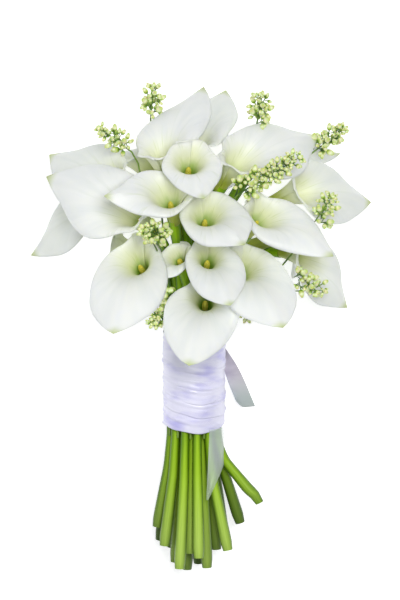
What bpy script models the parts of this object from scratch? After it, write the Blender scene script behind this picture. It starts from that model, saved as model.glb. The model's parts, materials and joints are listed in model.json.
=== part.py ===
"""Hand-tied bouquet of white calla lilies, laid down on its back.

Frame while modelling: X to the bouquet's right, Y along it from the cut stems to the flowers, Z up from the
surface that it lies on. Sizes are in millimetres and are turned into metres by MM. At the end every piece hangs
from one root, moved so that the origin is the middle of the bouquet's footprint.
Every calla is one grown piece, its stem and its rolled white spathe, and its yellow spadix is a piece of its own.
"""
import math
from dataclasses import dataclass

import bmesh
import bpy
import numpy as np
from mathutils import Matrix, Vector
from mathutils.bvhtree import BVHTree

MM = 0.001
MERGE = 0.00001
OBJECT_NAME = "calla_lily_bouquet"

# The bundle: stems side by side in three rings, held by tape under a satin ribbon
BUNDLE_TILT = math.radians(10.0)
BUNDLE_HEIGHT = 61.0
WRAP_LENGTH = 78.0
RING_SEATS = (3, 8, 12)
RING_RADII = (4.3, 11.65, 19.0)
STEM_RADIUS_CUT = 5.08
STEM_RADIUS_BOUND = 3.58
STEM_RADIUS_TOP = 3.78
STEM_RADIUS_NECK = 6.28
NECK_LENGTH = 6.5
STEM_SIDES = 6
STEM_STEPS_DOWN = 3
STEM_STEPS_UP = 4
CUT_REACH = 146.0
CUT_SPREAD = 1.6
CUT_DROP = 24.0
CUT_UNEVEN = 9.0
STRAY_TURN = math.radians(24.0)
STRAY_WINDOW = math.radians(44.0)
STRAY_REACH = 26.0
STRAY_SHORT = 30.0
GAP = 0.35
STEM_GAP = 0.19

# The spathe: one sheet rolled round the spadix, its outer side long and its inner side short
SHEET = 1.0
NECK_RADIUS = 4.0
SINK = 5.0
INNER_LENGTH = 41.0
OUTER_LENGTH = 92.0
TIP_LENGTH = 13.0
TIP_WIDTH = math.radians(22.0)
SIDE_POWER = 2.6
NECK_ANGLE = math.radians(8.0)
FUNNEL_ANGLE = math.radians(29.0)
FUNNEL_LENGTH = 30.0
OVERLAP = math.radians(22.0)
ROLL_STEP = 0.8
THROAT_DEPTH = 25.0
ROWS = 5
COLUMNS = 11
PROFILE_STEPS = 48
PRESSED = 2.0

# The spadix: height over the stem's end, radius
SPADIX = ((0.0, 1.6), (6.0, 2.4), (17.0, 2.4), (21.0, 1.0))
SPADIX_SIDES = 5
SPADIX_GAP = 0.3

# Satin wrap and binding tape
RING_SIDES = 20
TAPE_RADII = (23.1, 23.6)
TAPE_LENGTH = 60.0
WRAP_RADII = (24.0, 24.9)
WRAP_TURNS = 3
WRAP_STEP = 0.6
TAIL_THICKNESS = 0.8
TAIL_GAP = 0.3
TAIL_WIDTH = 13.0
TAIL_ROWS = 6
TAIL_COLUMNS = 2
RIGHT_TAIL_START = 28.0
RIGHT_TAIL_END = (43.0, -19.0, 38.0)
RIGHT_TAIL_ACROSS = (0.95, 0.3, 0.1)
RIGHT_TAIL_SAG = 14.0
RIGHT_TAIL_TURN_AT_WRAP = math.radians(-28.0)
RIGHT_TAIL_TURN = 1.6
FRONT_TAIL_ALONG = (-33.0, -90.0)
FRONT_TAIL_LEFT = (12.5, 10.0)
FRONT_TAIL_RIGHT = 24.0
FRONT_TAIL_TAPER = 0.55
FRONT_TAIL_RADII = (26.8, 30.0)

# Bud sprays: thin stems in the notches between the outer stems
SPRAY_SEAT_RADIUS = 21.2
SPRAY_STEM_RADIUS = 1.1
SPRAY_STEM_TOP = 0.8
SPRAY_SIDES = 4
SPRAY_FLARE = 0.3
BUD_TWIG = 8.0
BUD_TWIG_RADIUS = 0.55
BUD_RADIUS = 3.1
BUD_SIDES = 4
BUD_TURN = math.radians(137.5)

# How a piece may slide, and in what steps, until it crosses no neighbour
SLIDE_STEPS = (2.0, 5.0, 10.0)
BOW_STEPS = (2.0, 5.0, 12.0, 24.0)
SETTLE_ROUNDS = 14
SLIDE_COST = 0.4
LIFT_COST = 0.06
BOW_COST = 0.05
FLOOR_COST = 6.0
WORST_SETTLED = 4.0
SLIDES = (
    (1, 0, 0), (-1, 0, 0), (0, 1, 0), (0, -1, 0), (0, 0, 1), (0, 0, -1), (1, 1, 0), (-1, 1, 0),
    (1, -1, 0), (-1, -1, 0), (0, 1, 1), (0, 1, -1), (0, -1, 1), (0, -1, -1), (1, 0, 1), (-1, 0, 1),
)
BOWS = (
    (1, 0, 0), (-1, 0, 0), (0, 0, 1), (0, 0, -1), (0, 1, 0), (0, -1, 0),
    (1, 0, 1), (-1, 0, 1), (1, 0, -1), (-1, 0, -1),
)

COLOURS = {
    "spathe_white": (0.86, 0.88, 0.84, 1.0),
    "spadix_yellow": (0.72, 0.60, 0.08, 1.0),
    "satin_lavender": (0.72, 0.71, 0.86, 1.0),
    "tape_green": (0.16, 0.27, 0.10, 1.0),
    "bud_green": (0.52, 0.62, 0.30, 1.0),
}


@dataclass(frozen=True)
class Calla:
    """One bloom: where its throat is, which way it looks and where its tip points, angles in degrees."""

    throat: tuple
    lean: tuple
    tip: tuple
    size: float = 0.9
    reach: float = 1.0
    curl: tuple = (75.0, 114.0)
    width: float = 0.88
    lopsided: float = 0.0
    rests: bool = False


@dataclass(frozen=True)
class Spray:
    """One spray of buds: where its twigs begin, which way it points, its length and how many buds it has."""

    foot: tuple
    lean: tuple
    length: float
    buds: int


CALLAS = [
    Calla((9, 68, 118), (88, 66), (-100, 0), 0.9, reach=1.1),
    Calla((11, 95, 127), (80, 62), (-78, 0), 0.78, reach=0.9),
    Calla((-2, 130, 134), (85, 56), (-62, 0), 0.95, reach=0.55, width=1.0),
    Calla((-14, 147, 143), (100, 54), (-165, 0), 1.0, reach=0.4, width=0.95),
    Calla((-4, 174, 134), (85, 58), (-80, 0), 0.88, reach=0.45, width=1.0),
    Calla((-44, 97, 110), (115, 62), (-92, 0), 1.0, reach=1.15, width=0.82),
    Calla((38, 92, 108), (70, 60), (-76, 0), 0.95, reach=1.05),
    Calla((52, 132, 120), (50, 50), (-48, 0), 0.9, reach=0.85),
    Calla((-46, 134, 118), (140, 45), (152, 0), 1.0),
    Calla((-74, 148, 80), (165, 28), (-158, 0), 0.95),
    Calla((-68, 162, 84), (130, 25), (160, -40), 0.92),
    Calla((-25, 172, 104), (100, 25), (82, 0), 0.9),
    Calla((0, 188, 94), (88, 25), (78, 0), 0.82),
    Calla((33, 174, 112), (55, 38), (30, 0), 0.92),
    Calla((56, 187, 64), (55, 17), (30, 0), 0.9, reach=0.8),
    Calla((82, 154, 88), (20, 28), (8, 0), 0.95),
    Calla((86, 104, 84), (-10, 40), (-40, 0), 0.85, reach=0.7),
    Calla((-12, 104, 122), (110, 55), (-110, 0), 0.52, reach=0.5),
    Calla((-40, 178, 62), (120, 5), (190, -30), 0.85, reach=0.7),
    Calla((-4, 184, 60), (90, 5), (0, -60), 0.85, reach=0.7),
    Calla((-55, 108, 45), (170, -15), (-160, -60), 0.85, rests=True),
    Calla((60, 108, 45), (10, -15), (-20, -60), 0.85, rests=True),
    Calla((-8, 142, 30), (95, -8), (0, -20), 0.85, reach=0.7, rests=True),
]

SPRAYS = [
    Spray((-25, 118, 130), (160, 70), 34.0, 11),
    Spray((28, 150, 134), (28, 25), 66.0, 20),
    Spray((-8, 78, 112), (-130, 20), 40.0, 14),
    Spray((92, 186, 84), (34, 15), 34.0, 10),
    Spray((98, 126, 106), (65, 25), 28.0, 7),
    Spray((36, 72, 104), (-70, 20), 20.0, 5),
    Spray((76, 88, 98), (-25, 15), 30.0, 7),
    Spray((50, 204, 90), (80, 28), 28.0, 9),
    Spray((-47, 188, 94), (150, 25), 34.0, 8),
    Spray((-36, 204, 74), (82, 20), 26.0, 8),
]


def direction(azimuth, elevation):
    """Unit vector at an azimuth in the XY plane and an elevation towards +Z, both in degrees."""
    turn, rise = math.radians(azimuth), math.radians(elevation)
    return Vector((math.cos(rise) * math.cos(turn), math.cos(rise) * math.sin(turn), math.sin(rise)))


BUNDLE_ALONG = Vector((0.0, math.cos(BUNDLE_TILT), math.sin(BUNDLE_TILT)))
BUNDLE_UP = Vector((0.0, -math.sin(BUNDLE_TILT), math.cos(BUNDLE_TILT)))
BUNDLE_SIDE = Vector((1.0, 0.0, 0.0))


def bundle_point(along, radius=0.0, turn=0.0):
    """Point in the bundle: a distance along it from the middle of the wrap, and a polar place across it."""
    middle = Vector((0.0, 0.0, BUNDLE_HEIGHT)) + BUNDLE_ALONG * along
    return middle + (BUNDLE_SIDE * math.cos(turn) + BUNDLE_UP * math.sin(turn)) * radius


def clear_scene():
    for obj in list(bpy.data.objects):
        bpy.data.objects.remove(obj)


def bloom_axes(calla):
    """The bloom's own axes: along it, towards its tip, and across."""
    along = direction(*calla.lean)
    hint = direction(*calla.tip)
    out = (hint - along * hint.dot(along)).normalized()
    return along, out, along.cross(out)


def side_length(turn, calla):
    """Length of the sheet from the neck to its edge, by the angle round the bloom from the tip."""
    share = ((1.0 + math.cos(turn)) / 2.0) ** SIDE_POWER
    length = INNER_LENGTH + (OUTER_LENGTH - INNER_LENGTH) * calla.reach * share
    near_tip = max(0.0, 1.0 - abs(turn) / TIP_WIDTH)
    return length * (1.0 + calla.lopsided * math.sin(turn)) + TIP_LENGTH * near_tip ** 1.6


def side_profile(turn, calla):
    """Along one side, from its foot in the stem to its edge: distance out from the neck, height and sideways squeeze."""
    inner_curl, outer_curl = (math.radians(angle) for angle in calla.curl)
    share = (1.0 + math.cos(turn)) / 2.0
    curl = inner_curl + (outer_curl - inner_curl) * share
    end = side_length(turn, calla)
    lengths = np.linspace(-SINK, end, PROFILE_STEPS)
    funnel = np.clip(lengths / FUNNEL_LENGTH, 0.0, 1.0)
    flare = np.clip((lengths - FUNNEL_LENGTH) / (end - FUNNEL_LENGTH), 0.0, 1.0)
    slope = NECK_ANGLE + (FUNNEL_ANGLE - NECK_ANGLE) * funnel ** 1.3 + (curl - FUNNEL_ANGLE) * flare ** 1.25
    slope[lengths < 0.0] = 0.0
    step = lengths[1] - lengths[0]
    outward = np.concatenate([[0.0], np.cumsum(np.sin(slope[:-1]) * step)])
    height = -SINK + np.concatenate([[0.0], np.cumsum(np.cos(slope[:-1]) * step)])
    squeeze = 1.0 + (calla.width - 1.0) * funnel
    return outward, height, squeeze


def spathe_sheet(calla, rows=ROWS, columns=COLUMNS):
    """The open rolled sheet about the bloom's base, mapped from a flat grid: X round the bloom, Y from neck to edge."""
    along, out, across = bloom_axes(calla)
    sheet = bmesh.new()
    bmesh.ops.create_grid(sheet, x_segments=columns, y_segments=rows, size=1.0)
    profiles = {}
    for vertex in sheet.verts:
        turn = vertex.co.x * (math.pi + OVERLAP)
        key = round(vertex.co.x, 4)
        if key not in profiles:
            profiles[key] = side_profile(turn, calla)
        outward, height, squeeze = (
            float(np.interp((vertex.co.y + 1.0) / 2.0 * (PROFILE_STEPS - 1), range(PROFILE_STEPS), values))
            for values in profiles[key]
        )
        radius = NECK_RADIUS + outward * calla.size + ROLL_STEP * turn / math.pi
        ray = out * math.cos(turn) + across * math.sin(turn) * squeeze
        vertex.co = (along * height * calla.size + ray * radius) * MM
    bmesh.ops.triangulate(sheet, faces=sheet.faces)
    mesh = bpy.data.meshes.new("spathe")
    sheet.to_mesh(mesh)
    sheet.free()
    return mesh


def lowest(calla):
    """How far the middle of the bloom's sheet reaches down from its base."""
    mesh = spathe_sheet(calla)
    low = min(vertex.co.z for vertex in mesh.vertices) / MM
    bpy.data.meshes.remove(mesh)
    return low


def bloom_base(calla):
    """Where the spathe meets its stem. A bloom that rests is let down until its lowest lip presses on the surface."""
    base = Vector(calla.throat) - bloom_axes(calla)[0] * THROAT_DEPTH * calla.size
    if calla.rests:
        base.z = SHEET / 2.0 - PRESSED - lowest(calla)
    return base


def steepness(point):
    """(slope away from the bundle's centre line, angle round it) of a point, seen from the middle of the wrap."""
    offset = point - bundle_point(0.0)
    x, up, along = offset.dot(BUNDLE_SIDE), offset.dot(BUNDLE_UP), offset.dot(BUNDLE_ALONG)
    return math.hypot(x, up) / along, math.atan2(up, x)


def matched_ring(turns, count):
    """Angles for some pieces on a ring of evenly spaced seats, in the pieces' own order round it."""
    order = sorted(range(len(turns)), key=lambda i: turns[i] % (2.0 * math.pi))
    step = 2.0 * math.pi / count
    pull = sum(complex(math.cos(turns[i] - step * k), math.sin(turns[i] - step * k)) for k, i in enumerate(order))
    start = math.atan2(pull.imag, pull.real)
    return {i: start + step * k for k, i in enumerate(order)}, start


def seat_callas(bases):
    """Gives each calla the seat whose ring and angle match where its bloom is. Returns the seats and the notches."""
    polar = [steepness(base) for base in bases]
    order = sorted(range(len(bases)), key=lambda i: polar[i][0])
    seats, taken = {}, 0
    for count, radius in zip(RING_SEATS, RING_RADII):
        members = order[taken:taken + count]
        taken += count
        turns, start = matched_ring([polar[i][1] for i in members], count)
        for k, i in enumerate(members):
            seats[i] = (radius, turns[k])
    step = 2.0 * math.pi / RING_SEATS[-1]
    notches = [(SPRAY_SEAT_RADIUS, start + step * (k + 0.5)) for k in range(RING_SEATS[-1])]
    return [seats[i] for i in range(len(bases))], notches


def cut_end(seat):
    """Centre of a stem's cut end: splayed out, shorter towards the sides, and further out for the stray stems."""
    radius, turn = seat
    across = radius * math.cos(turn) / RING_RADII[-1]
    uneven = CUT_UNEVEN * math.sin(5.0 * turn + radius)
    away = abs(math.remainder(turn - STRAY_TURN, 2.0 * math.pi))
    stray = max(0.0, 1.0 - away / STRAY_WINDOW) if radius == RING_RADII[-1] else 0.0
    reach = CUT_REACH - CUT_DROP * across ** 2 - uneven * (1.0 - stray) - STRAY_SHORT * stray
    return bundle_point(-reach, radius * CUT_SPREAD, turn) + BUNDLE_SIDE * STRAY_REACH * stray


def hermite(p0, t0, p1, t1, steps):
    """Points of a cubic through p0 and p1 with those end tangents, without the first point."""
    points = []
    for k in range(1, steps + 1):
        u = k / steps
        a, b = 2 * u ** 3 - 3 * u ** 2 + 1, u ** 3 - 2 * u ** 2 + u
        c, d = -2 * u ** 3 + 3 * u ** 2, u ** 3 - u ** 2
        points.append(p0 * a + t0 * b + p1 * c + t1 * d)
    return points


def upper_line(seat, base, along, bow, steps, flare=0.0):
    """Points from the top of the wrap to a bloom, bowed aside in the middle, leaving the bundle with some flare."""
    high = bundle_point(WRAP_LENGTH / 2.0 + 2.0, *seat)
    outward = high - bundle_point(WRAP_LENGTH / 2.0 + 2.0)
    leave = (BUNDLE_ALONG + outward.normalized() * flare).normalized()
    reach = (base - high).length
    points = hermite(high, leave * reach * 1.1, base, along * reach * 1.1, steps)
    return [high] + [
        point + bow * math.sin(math.pi * (k + 1) / steps) ** 2 for k, point in enumerate(points)
    ]


def stem_line(seat, base, along, bow):
    """[(point, radius)] from a calla's cut end, through the wrap, to the bloom's neck."""
    cut = cut_end(seat)
    low = bundle_point(-WRAP_LENGTH / 2.0 - 2.0, *seat)
    spread = (low - cut).length
    down = hermite(cut, low - cut, low, BUNDLE_ALONG * spread, STEM_STEPS_DOWN)
    taper = (STEM_RADIUS_BOUND - STEM_RADIUS_CUT) / STEM_STEPS_DOWN
    line = [(cut, STEM_RADIUS_CUT)] + [(p, STEM_RADIUS_CUT + taper * (k + 1)) for k, p in enumerate(down)]
    up = upper_line(seat, base, along, bow, STEM_STEPS_UP)
    swell = (STEM_RADIUS_TOP - STEM_RADIUS_BOUND) / STEM_STEPS_UP
    line += [(p, STEM_RADIUS_BOUND + swell * k) for k, p in enumerate(up[:-1])]
    line.append((base - along * NECK_LENGTH, STEM_RADIUS_NECK * 0.9))
    line.append((base, STEM_RADIUS_NECK))
    return [(Vector((p.x, p.y, max(p.z, r))), r) for p, r in line]


def spray_line(seat, foot, along, bow):
    """[(point, radius)] of a spray's own stem, from just below the wrap to where its twigs begin."""
    low = bundle_point(-WRAP_LENGTH / 2.0 - 2.0, *seat)
    up = upper_line(seat, foot, along, bow, 6, SPRAY_FLARE)
    taper = (SPRAY_STEM_TOP - SPRAY_STEM_RADIUS) / 6
    return [(low, SPRAY_STEM_RADIUS)] + [(p, SPRAY_STEM_RADIUS + taper * k) for k, p in enumerate(up)]


def tube(line, sides, extra=0.0):
    """Points and faces of a closed tube along a line of points and radii."""
    points, faces = [], []
    normal = Vector((0.0, 0.0, 1.0)) if abs((line[-1][0] - line[0][0]).normalized().z) < 0.9 else BUNDLE_SIDE
    for k, (point, radius) in enumerate(line):
        ahead = (line[min(k + 1, len(line) - 1)][0] - line[max(k - 1, 0)][0]).normalized()
        normal = (normal - ahead * normal.dot(ahead)).normalized()
        side = ahead.cross(normal)
        for j in range(sides):
            turn = 2.0 * math.pi * j / sides
            points.append(point + (normal * math.cos(turn) + side * math.sin(turn)) * (radius + extra))
    for k in range(len(line) - 1):
        for j in range(sides):
            i, n = k * sides + j, k * sides + (j + 1) % sides
            faces.append((i, n, n + sides, i + sides))
    faces.append(tuple(reversed(range(sides))))
    faces.append(tuple(range(len(points) - sides, len(points))))
    return points, faces


def bud_lines(spray):
    """The spray's twigs about its foot, as lines of points and radii: its own tip with a bud, then the side buds."""
    along = direction(*spray.lean)
    side = along.orthogonal().normalized()
    lines = []
    for k in range(spray.buds):
        share = k / (spray.buds - 1)
        size = BUD_RADIUS * (1.0 - 0.3 * share)
        if k == spray.buds - 1:
            way, reach, root = along, 0.0, along * spray.length
            start = (along * -SPRAY_STEM_TOP, SPRAY_STEM_TOP * 0.9)
        else:
            turned = Matrix.Rotation(BUD_TURN * k, 3, along) @ side
            way = (along * 0.75 + turned).normalized()
            reach = BUD_TWIG * (1.1 - 0.4 * share)
            root = along * spray.length * (0.15 + 0.8 * share)
            start = (root, BUD_TWIG_RADIUS * 0.9)
        lines.append([
            start,
            (root + way * reach, BUD_TWIG_RADIUS),
            (root + way * (reach + size * 1.1), size),
            (root + way * (reach + size * 2.1), 0.0),
        ])
    return lines


def thickened(mesh, thickness):
    """Applies a wall of one thickness to an open sheet, half to each side, and returns the closed mesh."""
    obj = bpy.data.objects.new("sheet", mesh)
    bpy.context.scene.collection.objects.link(obj)
    wall = obj.modifiers.new("Wall", "SOLIDIFY")
    wall.thickness = thickness * MM
    wall.offset = 0.0
    solid = bpy.data.meshes.new_from_object(obj.evaluated_get(bpy.context.evaluated_depsgraph_get()))
    bpy.data.objects.remove(obj)
    return solid


class Standing:
    """A calla or a spray as it stands while the bouquet settles: where it is and what it would touch."""

    def __init__(self, seat, base, along, shell, line_of, slides, gap):
        self.seat = seat
        self.gap = gap
        self.start = base
        self.along = along
        self.shell = shell
        self.line_of = line_of
        self.slides = slides
        self.slid = Vector((0.0, 0.0, 0.0))
        self.bow = Vector((0.0, 0.0, 0.0))
        self.low = min(point.z for point in shell[0])
        self.tree = self.tree_at(self.slid, self.bow)

    def base(self):
        return self.start + self.slid

    def line(self):
        return self.line_of(self.seat, self.base(), self.along, self.bow)

    def tree_at(self, slid, bow, seat=None):
        base = self.start + slid
        stem, stem_faces = tube(self.line_of(seat or self.seat, base, self.along, bow), STEM_SIDES, self.gap / 2.0)
        points, faces = self.shell
        first = len(points)
        points = [tuple(p + base) for p in points] + [tuple(p) for p in stem]
        faces = faces + [tuple(i + first for i in face) for face in stem_faces]
        return BVHTree.FromPolygons(points, faces)

    def below_floor(self, slid):
        """How far the piece would reach into the surface. A piece that rests slides along it, so nothing counts."""
        return 0.0 if len(self.slides) < len(SLIDES) else max(0.0, GAP - (self.start + slid).z - self.low)


def calla_standing(calla, seat):
    solid = thickened(spathe_sheet(calla), SHEET + GAP)
    shell = ([v.co / MM for v in solid.vertices], [tuple(f.vertices) for f in solid.polygons])
    slides = [slide for slide in SLIDES if not (calla.rests and slide[2])]
    return Standing(seat, bloom_base(calla), bloom_axes(calla)[0], shell, stem_line, slides, STEM_GAP)


def spray_standing(spray, seat):
    points, faces = [], []
    for line in bud_lines(spray):
        more, more_faces = tube(line, BUD_SIDES, GAP / 2.0)
        faces += [tuple(i + len(points) for i in face) for face in more_faces]
        points += more
    foot = Vector(spray.foot)
    rise = (foot - bundle_point(0.0)).normalized()
    return Standing(seat, foot, rise, (points, faces), spray_line, list(SLIDES), GAP)


def crossings(tree, one, others):
    """Number of face pairs in which a piece would cross its neighbours."""
    return sum(len(tree.overlap(other.tree)) for other in others if other is not one)


def seat_sprays(sprays, notches, callas):
    """Gives each spray the free notch from which its stem, bowed if need be, crosses the fewest others."""
    free, seated = list(notches), []
    bows = [Vector()] + [Vector(bow) * step for bow in BOWS for step in BOW_STEPS]
    for spray in sprays:
        one = spray_standing(spray, free[0])
        turn = steepness(one.start)[1]
        best = (math.inf,)
        for notch in free:
            off = abs(math.remainder(notch[1] - turn, 2.0 * math.pi))
            for bow in bows:
                tree = one.tree_at(one.slid, bow, notch)
                total = crossings(tree, one, callas + seated) + BOW_COST * bow.length + off
                if total < best[0]:
                    best = (total, bow, notch, tree)
        _, one.bow, one.seat, one.tree = best
        free.remove(one.seat)
        seated.append(one)
    return seated


def settle(moving, still=()):
    """Slides and bows each moving piece in small steps until it crosses no neighbour, the worst placed first."""
    others = list(moving) + list(still)

    def cost(one, slid, bow, tree):
        aside = SLIDE_COST * math.hypot(slid.x, slid.y) + LIFT_COST * abs(slid.z) + BOW_COST * bow.length
        return crossings(tree, one, others) + aside + FLOOR_COST * one.below_floor(slid)

    for _ in range(SETTLE_ROUNDS):
        costs = {id(one): cost(one, one.slid, one.bow, one.tree) for one in moving}
        crossing = [one for one in moving if costs[id(one)] >= WORST_SETTLED]
        if not crossing:
            break
        for one in sorted(crossing, key=lambda piece: -costs[id(piece)]):
            best = (cost(one, one.slid, one.bow, one.tree), one.slid, one.bow, one.tree)
            moves = [(Vector(slide) * step, Vector()) for slide in one.slides for step in SLIDE_STEPS]
            moves += [(Vector(), Vector(bow) * step) for bow in BOWS for step in BOW_STEPS]
            for slide, bend in moves:
                slid, bow = one.slid + slide, one.bow + bend
                tree = one.tree_at(slid, bow)
                total = cost(one, slid, bow, tree)
                if total < best[0]:
                    best = (total, slid, bow, tree)
            one.slid, one.bow, one.tree = best[1:]


def new_piece(name, mesh, colour, collection):
    """Makes an object of a mesh, named, coloured and in the bouquet's collection."""
    mesh.name = name
    mesh.materials.clear()
    mesh.materials.append(bpy.data.materials[colour])
    obj = bpy.data.objects.new(name, mesh)
    collection.objects.link(obj)
    return obj


def mesh_of(points, faces):
    """Mesh of points in millimetres, split into triangles."""
    mesh = bpy.data.meshes.new("solid")
    mesh.from_pydata([point * MM for point in points], [], faces)
    solid = bmesh.new()
    solid.from_mesh(mesh)
    bmesh.ops.remove_doubles(solid, verts=solid.verts, dist=MERGE)
    bmesh.ops.recalc_face_normals(solid, faces=solid.faces)
    bmesh.ops.triangulate(solid, faces=solid.faces)
    solid.to_mesh(mesh)
    solid.free()
    return mesh


def flatten_below(mesh):
    """Cuts a closed mesh flat at the surface where its lowest lip presses on it."""
    solid = bmesh.new()
    solid.from_mesh(mesh)
    everything = solid.verts[:] + solid.edges[:] + solid.faces[:]
    cut = bmesh.ops.bisect_plane(solid, geom=everything, plane_co=(0, 0, 0), plane_no=(0, 0, -1), clear_outer=True)
    edges = [item for item in cut["geom_cut"] if isinstance(item, bmesh.types.BMEdge)]
    bmesh.ops.triangulate(solid, faces=bmesh.ops.holes_fill(solid, edges=edges)["faces"])
    solid.to_mesh(mesh)
    solid.free()


def drop_scrap(mesh):
    """Removes the loose scraps that a union can leave beside the one body."""
    body = bmesh.new()
    body.from_mesh(mesh)
    left, bodies = set(body.verts), []
    while left:
        reached = [left.pop()]
        for vertex in reached:
            near = {edge.other_vert(vertex) for edge in vertex.link_edges} & left
            left -= near
            reached.extend(near)
        bodies.append(reached)
    scraps = sorted(bodies, key=len)[:-1]
    bmesh.ops.delete(body, geom=[vertex for scrap in scraps for vertex in scrap], context="VERTS")
    body.to_mesh(mesh)
    body.free()


def fuse(obj, meshes, cutters):
    """Joins closed meshes to an object as one body, by one union on a collection."""
    for mesh in meshes:
        cutters.objects.link(bpy.data.objects.new("join", mesh))
    union = obj.modifiers.new("Union", "BOOLEAN")
    union.operation = "UNION"
    union.operand_type = "COLLECTION"
    union.collection = cutters
    union.solver = "MANIFOLD"
    joined = bpy.data.meshes.new_from_object(obj.evaluated_get(bpy.context.evaluated_depsgraph_get()))
    obj.modifiers.remove(union)
    drop_scrap(joined)
    obj.data = joined
    for joiner in list(cutters.objects):
        bpy.data.objects.remove(joiner)


def make_calla(name, calla, standing, collection, cutters):
    """A stem and its spathe, fused as the one piece that they grow as."""
    spathe = thickened(spathe_sheet(calla), SHEET)
    spathe.transform(Matrix.Translation(standing.base() * MM))
    if calla.rests:
        flatten_below(spathe)
    stem = mesh_of(*tube(standing.line(), STEM_SIDES))
    obj = new_piece(name, stem, "spathe_white", collection)
    fuse(obj, [spathe], cutters)
    return obj


def make_spadix(name, calla, standing, collection):
    """The yellow spadix, standing on the stem's end in the throat."""
    foot = standing.base() + standing.along * SPADIX_GAP
    line = [(foot + standing.along * height * calla.size, radius) for height, radius in SPADIX]
    return new_piece(name, mesh_of(*tube(line, SPADIX_SIDES)), "spadix_yellow", collection)


def make_spray(name, spray, standing, collection, cutters):
    """A spray's stem with its twigs and buds, fused."""
    obj = new_piece(name, mesh_of(*tube(standing.line(), SPRAY_SIDES)), "bud_green", collection)
    twigs = []
    for line in bud_lines(spray):
        placed = [(point + standing.base(), radius) for point, radius in line]
        twigs.append(mesh_of(*tube(placed, BUD_SIDES)))
    fuse(obj, twigs, cutters)
    return obj


def lathe(loop, sides):
    """Points and faces of a ring round the bundle's line, from a closed loop of (place along, radius)."""
    count = len(loop)
    points = [bundle_point(along, radius, 2.0 * math.pi * j / sides) for j in range(sides) for along, radius in loop]
    faces = []
    for j in range(sides):
        for k in range(count):
            a, b = j * count, (j + 1) % sides * count
            n = (k + 1) % count
            faces.append((a + k, a + n, b + n, b + k))
    return points, faces


def make_tape(collection):
    half = TAPE_LENGTH / 2.0
    inner, outer = TAPE_RADII
    points, faces = lathe([(-half, inner), (-half, outer), (half, outer), (half, inner)], RING_SIDES)
    return new_piece("binding_tape", mesh_of(points, faces), "tape_green", collection)


def make_wrap(collection):
    """The satin ribbon wound round the stems, each turn's lower edge lying over the one below it."""
    half = WRAP_LENGTH / 2.0
    inner, outer = WRAP_RADII
    turn = WRAP_LENGTH / WRAP_TURNS
    loop = [(-half, inner)]
    for k in range(WRAP_TURNS):
        low = -half + turn * k
        loop += [(low, outer + WRAP_STEP), (low + turn - 1.0, outer)]
    loop[-1] = (half, outer)
    loop.append((half, inner))
    return new_piece("satin_wrap", mesh_of(*lathe(loop, RING_SIDES)), "satin_lavender", collection)


def make_strip(name, rows, collection):
    """A ribbon tail through rows of points, each row running across the ribbon."""
    points = [point for row in rows for point in row]
    faces = []
    row = TAIL_COLUMNS + 1
    for j in range(len(rows) - 1):
        for k in range(TAIL_COLUMNS):
            i = j * row + k
            faces.append((i, i + 1, i + row + 1, i + row))
    return new_piece(name, thickened(mesh_of(points, faces), TAIL_THICKNESS), "satin_lavender", collection)


def right_tail():
    """Rows of points of the tail that hangs off the right side of the wrap towards the cut ends."""
    radius = WRAP_RADII[1] + TAIL_GAP + TAIL_THICKNESS / 2.0
    turn = RIGHT_TAIL_TURN_AT_WRAP
    start = bundle_point(RIGHT_TAIL_START, radius, turn)
    tangent = BUNDLE_UP * math.cos(turn) - BUNDLE_SIDE * math.sin(turn)
    rows = []
    for k in range(TAIL_ROWS + 1):
        u = k / TAIL_ROWS
        centre = start.lerp(Vector(RIGHT_TAIL_END), u)
        centre.z += RIGHT_TAIL_SAG * u * (1.0 - u)
        across = tangent.lerp(Vector(RIGHT_TAIL_ACROSS), min(1.0, RIGHT_TAIL_TURN * u)).normalized()
        rows.append([centre + across * TAIL_WIDTH * (k / TAIL_COLUMNS - 0.5) for k in range(TAIL_COLUMNS + 1)])
    return rows


def front_tail():
    """Rows of points of the tail that lies down over the stems from the wrap's lower edge, cut to a point."""
    rows = []
    for k in range(TAIL_ROWS + 1):
        u = k / TAIL_ROWS
        left = FRONT_TAIL_LEFT[0] + (FRONT_TAIL_LEFT[1] - FRONT_TAIL_LEFT[0]) * u
        taper = max(0.0, (u - FRONT_TAIL_TAPER) / (1.0 - FRONT_TAIL_TAPER))
        right = FRONT_TAIL_RIGHT + (left + 1.5 - FRONT_TAIL_RIGHT) * taper
        along = FRONT_TAIL_ALONG[0] + (FRONT_TAIL_ALONG[1] - FRONT_TAIL_ALONG[0]) * u
        lift = FRONT_TAIL_RADII[0] + (FRONT_TAIL_RADII[1] - FRONT_TAIL_RADII[0]) * u ** 2
        places = [left + (right - left) * k / TAIL_COLUMNS for k in range(TAIL_COLUMNS + 1)]
        rows.append([bundle_point(along, lift, math.acos(x / lift)) for x in places])
    return rows


def centre_on_footprint(pieces):
    """Hangs every piece from one root, moved so that the origin is the middle of the bouquet's footprint."""
    corners = np.array([vertex.co for obj in pieces for vertex in obj.data.vertices])
    low, high = corners.min(axis=0), corners.max(axis=0)
    root = bpy.data.objects.new(OBJECT_NAME, None)
    pieces[0].users_collection[0].objects.link(root)
    root.location = (-(low[0] + high[0]) / 2.0, -(low[1] + high[1]) / 2.0, -low[2])
    for obj in pieces:
        obj.parent = root
    return root


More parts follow.
